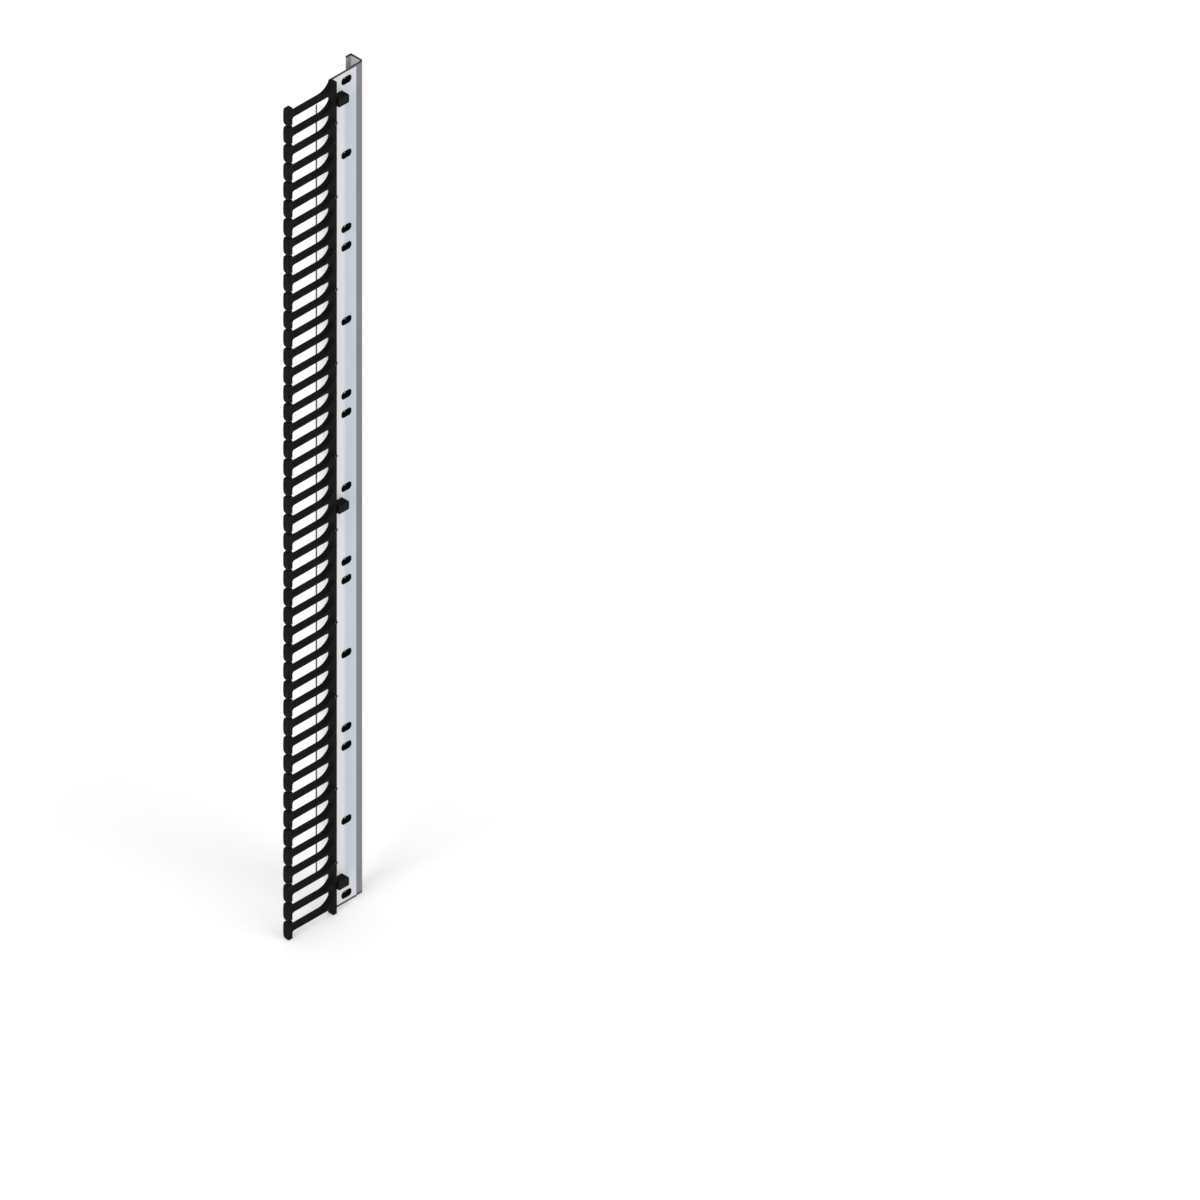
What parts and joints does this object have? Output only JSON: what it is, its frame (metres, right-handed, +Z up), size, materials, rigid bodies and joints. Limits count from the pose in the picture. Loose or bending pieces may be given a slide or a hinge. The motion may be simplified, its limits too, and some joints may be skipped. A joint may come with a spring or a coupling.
{
  "type": "vertical cable manager",
  "caption": "Tall folded-sheet panel with a column of T-headed plastic cable fingers, strap slots, an edge rail and threaded mounting blocks, for the side of an equipment rack.",
  "frame": {"origin": "mouth of the threaded insert in the middle mounting block, in the plane that lies on the rack", "axes": "+Z up along the panel, -Y towards the rack that the blocks are screwed to, +X across the panel from the finger tips to the edge rail"},
  "size_m": [0.223, 0.0533, 2.0002],
  "materials": {
    "panel_paint": "satin powder coat, pale blue-grey",
    "rail_paint": "satin powder coat, mid grey",
    "comb_plastic": "fine moulded texture, black",
    "block_plastic": "fine moulded texture, black",
    "black_screws": "black oxide",
    "zinc_screws": "zinc plated",
    "insert_brass": "turned"
  },
  "bodies": {
    "root": {"mounting_panel": "panel_paint", "edge_rail": "rail_paint", "finger_comb_1": "comb_plastic", "comb_screws_1": "black_screws", "finger_comb_2": "comb_plastic", "comb_screws_2": "black_screws", "finger_comb_3": "comb_plastic", "comb_screws_3": "black_screws", "finger_comb_4": "comb_plastic", "comb_screws_4": "black_screws", "finger_comb_5": "comb_plastic", "comb_screws_5": "black_screws", "mounting_block_top": "block_plastic", "block_insert_top": "insert_brass", "block_screw_top": "zinc_screws", "mounting_block_middle": "block_plastic", "block_insert_middle": "insert_brass", "block_screw_middle": "zinc_screws", "mounting_block_bottom": "block_plastic", "block_insert_bottom": "insert_brass", "block_screw_bottom": "zinc_screws"}
  },
  "joints": []
}
